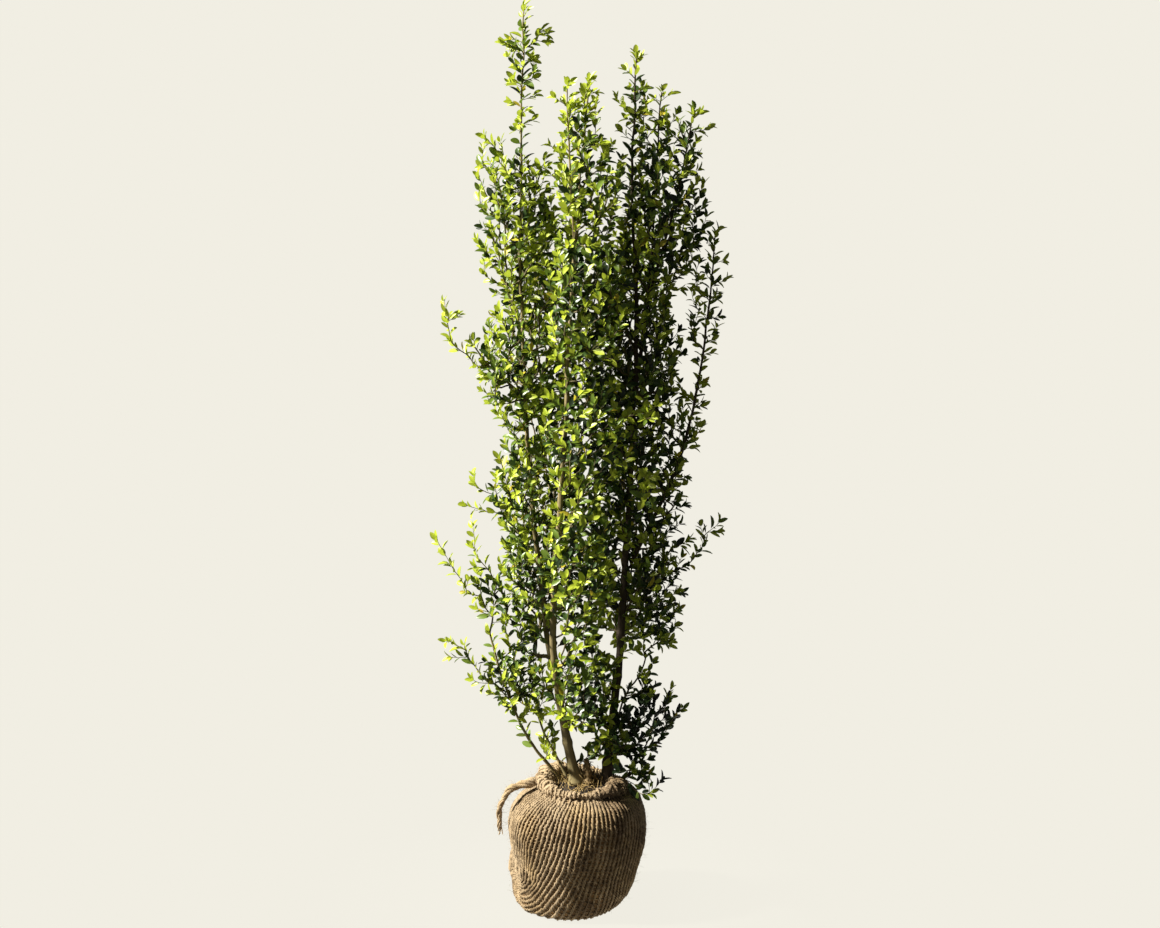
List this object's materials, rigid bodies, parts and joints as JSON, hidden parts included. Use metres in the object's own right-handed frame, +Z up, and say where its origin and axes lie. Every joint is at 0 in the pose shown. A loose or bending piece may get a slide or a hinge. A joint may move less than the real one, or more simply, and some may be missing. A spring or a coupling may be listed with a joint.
{
  "type": "sapling with root ball",
  "caption": "Tall narrow evergreen hedging shrub, several upright leafy stems on a flat-bottomed root ball in a knitted jute sock, ready for planting.",
  "frame": {"origin": "centre of the root ball's flat underside, on the ground", "axes": "+Z up along the stems, +X to the viewer's right, +Y to the back, away from the viewer"},
  "size_m": [0.5827, 0.398, 1.82],
  "materials": {
    "jute": "coarse knitted natural fibre, dry and hairy",
    "soil": "crumbly dark garden soil",
    "straw": "dry stalks and fibre",
    "bark": "thin grey-green to dark brown bark",
    "foliage": "small glossy leathery leaves"
  },
  "bodies": {
    "root": {"jute_sock": "jute", "soil": "soil", "jute_collar": "jute", "jute_tail": "jute", "straw_litter": "straw", "dry_stub": "straw", "back_left_low": "foliage", "back_left_upper": "foliage", "back_right_low": "foliage", "back_right_upper": "foliage", "bough_left": "bark", "bough_left_second": "foliage", "bough_left_spray": "foliage", "bough_right": "bark", "bough_right_foot": "bark", "bough_right_spray": "foliage", "centre_foot": "foliage", "centre_low": "foliage", "centre_mid": "foliage", "centre_top": "foliage", "centre_upper": "foliage", "crest_left": "foliage", "left_foot": "foliage", "left_low": "foliage", "left_lower": "foliage", "left_mid": "foliage", "left_upper": "foliage", "outer_right_low": "foliage", "outer_right_top": "foliage", "right_foot": "foliage", "right_hanging": "foliage", "right_low": "foliage", "right_lower": "foliage", "right_mid": "foliage", "right_upper": "foliage", "shoot_inner": "bark", "shoot_left": "bark", "shoot_left_low": "bark", "shoot_left_low_spray": "foliage", "shoot_left_mid": "foliage", "shoot_left_side": "foliage", "shoot_left_top": "foliage", "stem_centre_second": "bark", "stem_front": "bark", "stem_left": "bark", "stem_right": "bark", "stem_right_outer": "bark", "stem_right_second": "bark", "stem_right_third": "bark", "tip_centre": "foliage", "tip_centre_second": "foliage", "tip_leader": "foliage", "tip_right": "foliage", "tip_right_second": "foliage", "tip_right_third": "foliage"}
  },
  "joints": []
}
